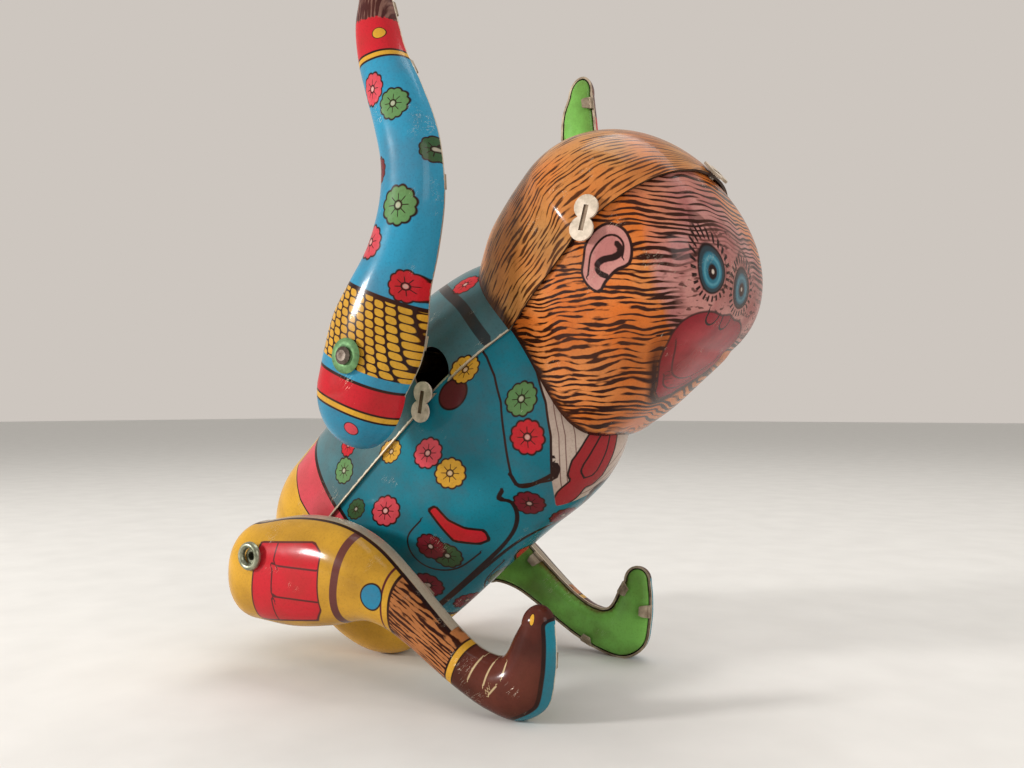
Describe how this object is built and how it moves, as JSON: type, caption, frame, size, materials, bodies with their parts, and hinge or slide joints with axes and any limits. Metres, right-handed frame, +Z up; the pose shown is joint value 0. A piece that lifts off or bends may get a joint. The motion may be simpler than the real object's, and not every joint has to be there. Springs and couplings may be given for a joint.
{
  "type": "tin climbing monkey",
  "caption": "Pressed-tin climbing toy monkey: two body shells, turning arms on a shoulder axle and sprung legs on a hip tube.",
  "frame": {"origin": "on the surface that the toy rests on, under the middle of its bounding box", "axes": "+X the way the monkey faces, +Y to its left, +Z up"},
  "size_m": [0.1154, 0.0836, 0.1402],
  "materials": {
    "litho_front": "printed tin under gloss lacquer",
    "litho_back": "printed tin under gloss lacquer",
    "litho_arm": "printed tin under gloss lacquer",
    "litho_leg": "printed tin under gloss lacquer",
    "inner_green": "thin lacquer on tin",
    "washer_green": "thin lacquer on tin",
    "bare_tin": "bare tinplate",
    "steel_wire": "drawn",
    "turned_brass": "turned"
  },
  "bodies": {
    "torso": {"front_shell": "litho_front", "back_shell": "litho_back", "shoulder_axle": "steel_wire", "shoulder_washer_right": "washer_green", "shoulder_washer_left": "washer_green", "shoulder_bush_right": "turned_brass", "shoulder_bush_left": "turned_brass", "hip_washer_right": "bare_tin", "hip_washer_left": "bare_tin", "spring_anchor": "steel_wire", "return_spring": "steel_wire"},
    "sheave": {"cord_sheave": "turned_brass"},
    "arm_right": {"arm_right_outer_shell": "litho_arm", "arm_right_back_plate": "inner_green"},
    "arm_left": {"arm_left_outer_shell": "litho_arm", "arm_left_back_plate": "inner_green"},
    "legs": {"leg_right_outer_shell": "litho_leg", "leg_right_back_plate": "inner_green", "leg_left_outer_shell": "litho_leg", "leg_left_back_plate": "inner_green", "hip_tube": "bare_tin", "hip_eyelet_right": "bare_tin", "hip_eyelet_left": "bare_tin", "crank_plate": "bare_tin", "crank_pin": "steel_wire"}
  },
  "joints": [
    {"name": "shoulder_right", "type": "hinge", "parent": "torso", "child": "arm_right", "pos_m": [-0.00517, 0, 0.0663], "axis": [0, 1, 0], "range_deg": [-100, 105]},
    {"name": "shoulder_left", "type": "hinge", "parent": "torso", "child": "arm_left", "pos_m": [-0.00517, 0, 0.0663], "axis": [0, 1, 0], "range_deg": [-110, 95]},
    {"name": "hips", "type": "hinge", "parent": "torso", "child": "legs", "pos_m": [-0.03825, 0, 0.02584], "axis": [0, 1, 0], "range_deg": [0, 118], "stiffness_Nm_per_rad": 0.03, "springref_deg": -28.65, "deforming": ["return_spring"]},
    {"name": "cord_sheave_turn", "type": "hinge", "parent": "torso", "child": "sheave", "pos_m": [-0.00517, 0, 0.0663], "axis": [0, 1, 0], "continuous": true}
  ]
}
